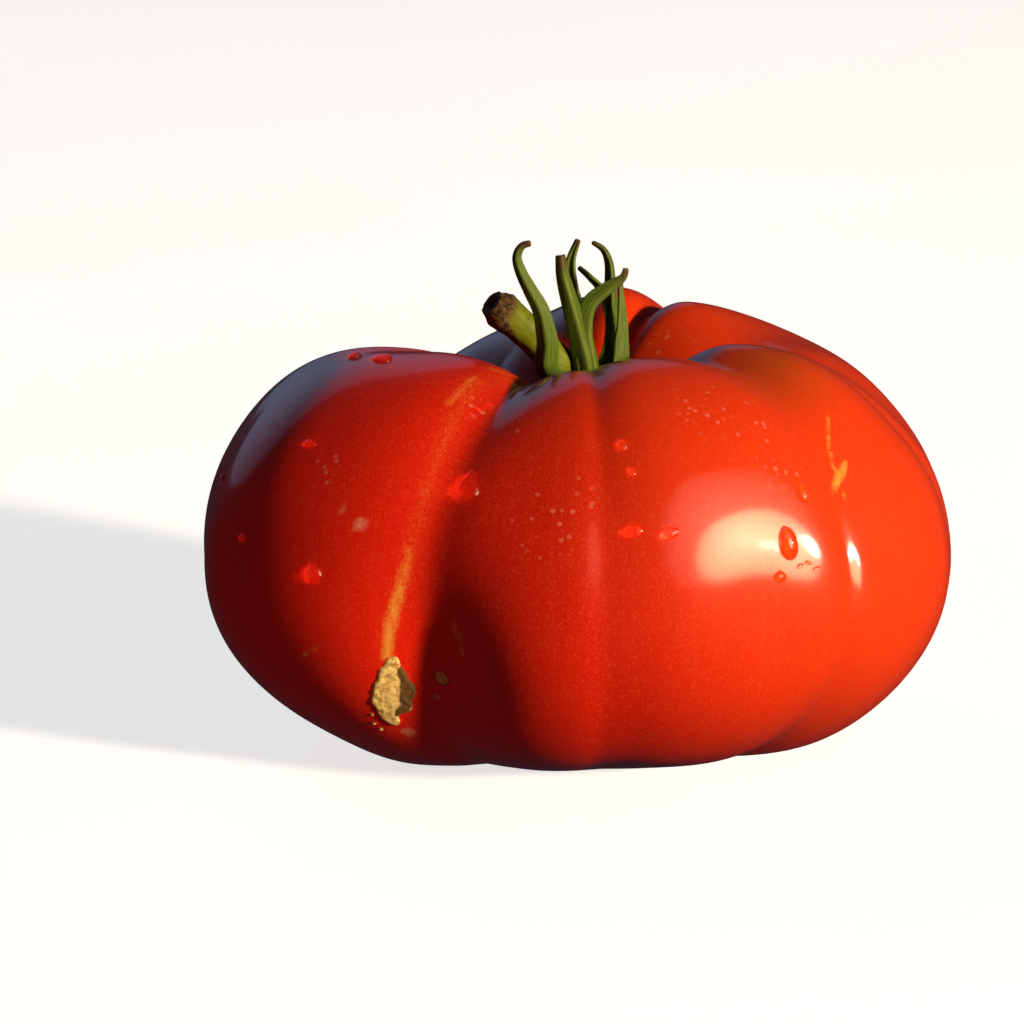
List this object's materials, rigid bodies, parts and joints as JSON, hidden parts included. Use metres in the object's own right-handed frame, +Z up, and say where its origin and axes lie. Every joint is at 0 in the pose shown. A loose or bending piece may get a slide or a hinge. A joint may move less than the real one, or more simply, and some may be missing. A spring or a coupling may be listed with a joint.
{
  "type": "beefsteak tomato",
  "caption": "Ripe lobed beefsteak tomato with a sunken stem basin, upright green sepals and a bent stub of stem, resting on a small flat spot.",
  "frame": {"origin": "on the small flat spot that the fruit rests on, under the middle of the fruit's width and depth", "axes": "+Z up along the fruit's axis towards the stem; +X along the fruit's width, to the viewer's right; -Y is the side that faces the viewer"},
  "size_m": [0.13, 0.122, 0.0899],
  "materials": {
    "skin": "glossy, waxy red skin",
    "sepal": "matt, finely hairy green",
    "stem": "matt yellow-green with a brown dry end"
  },
  "bodies": {
    "root": {"fruit": "skin", "calyx": "sepal", "stem": "stem"}
  },
  "joints": []
}
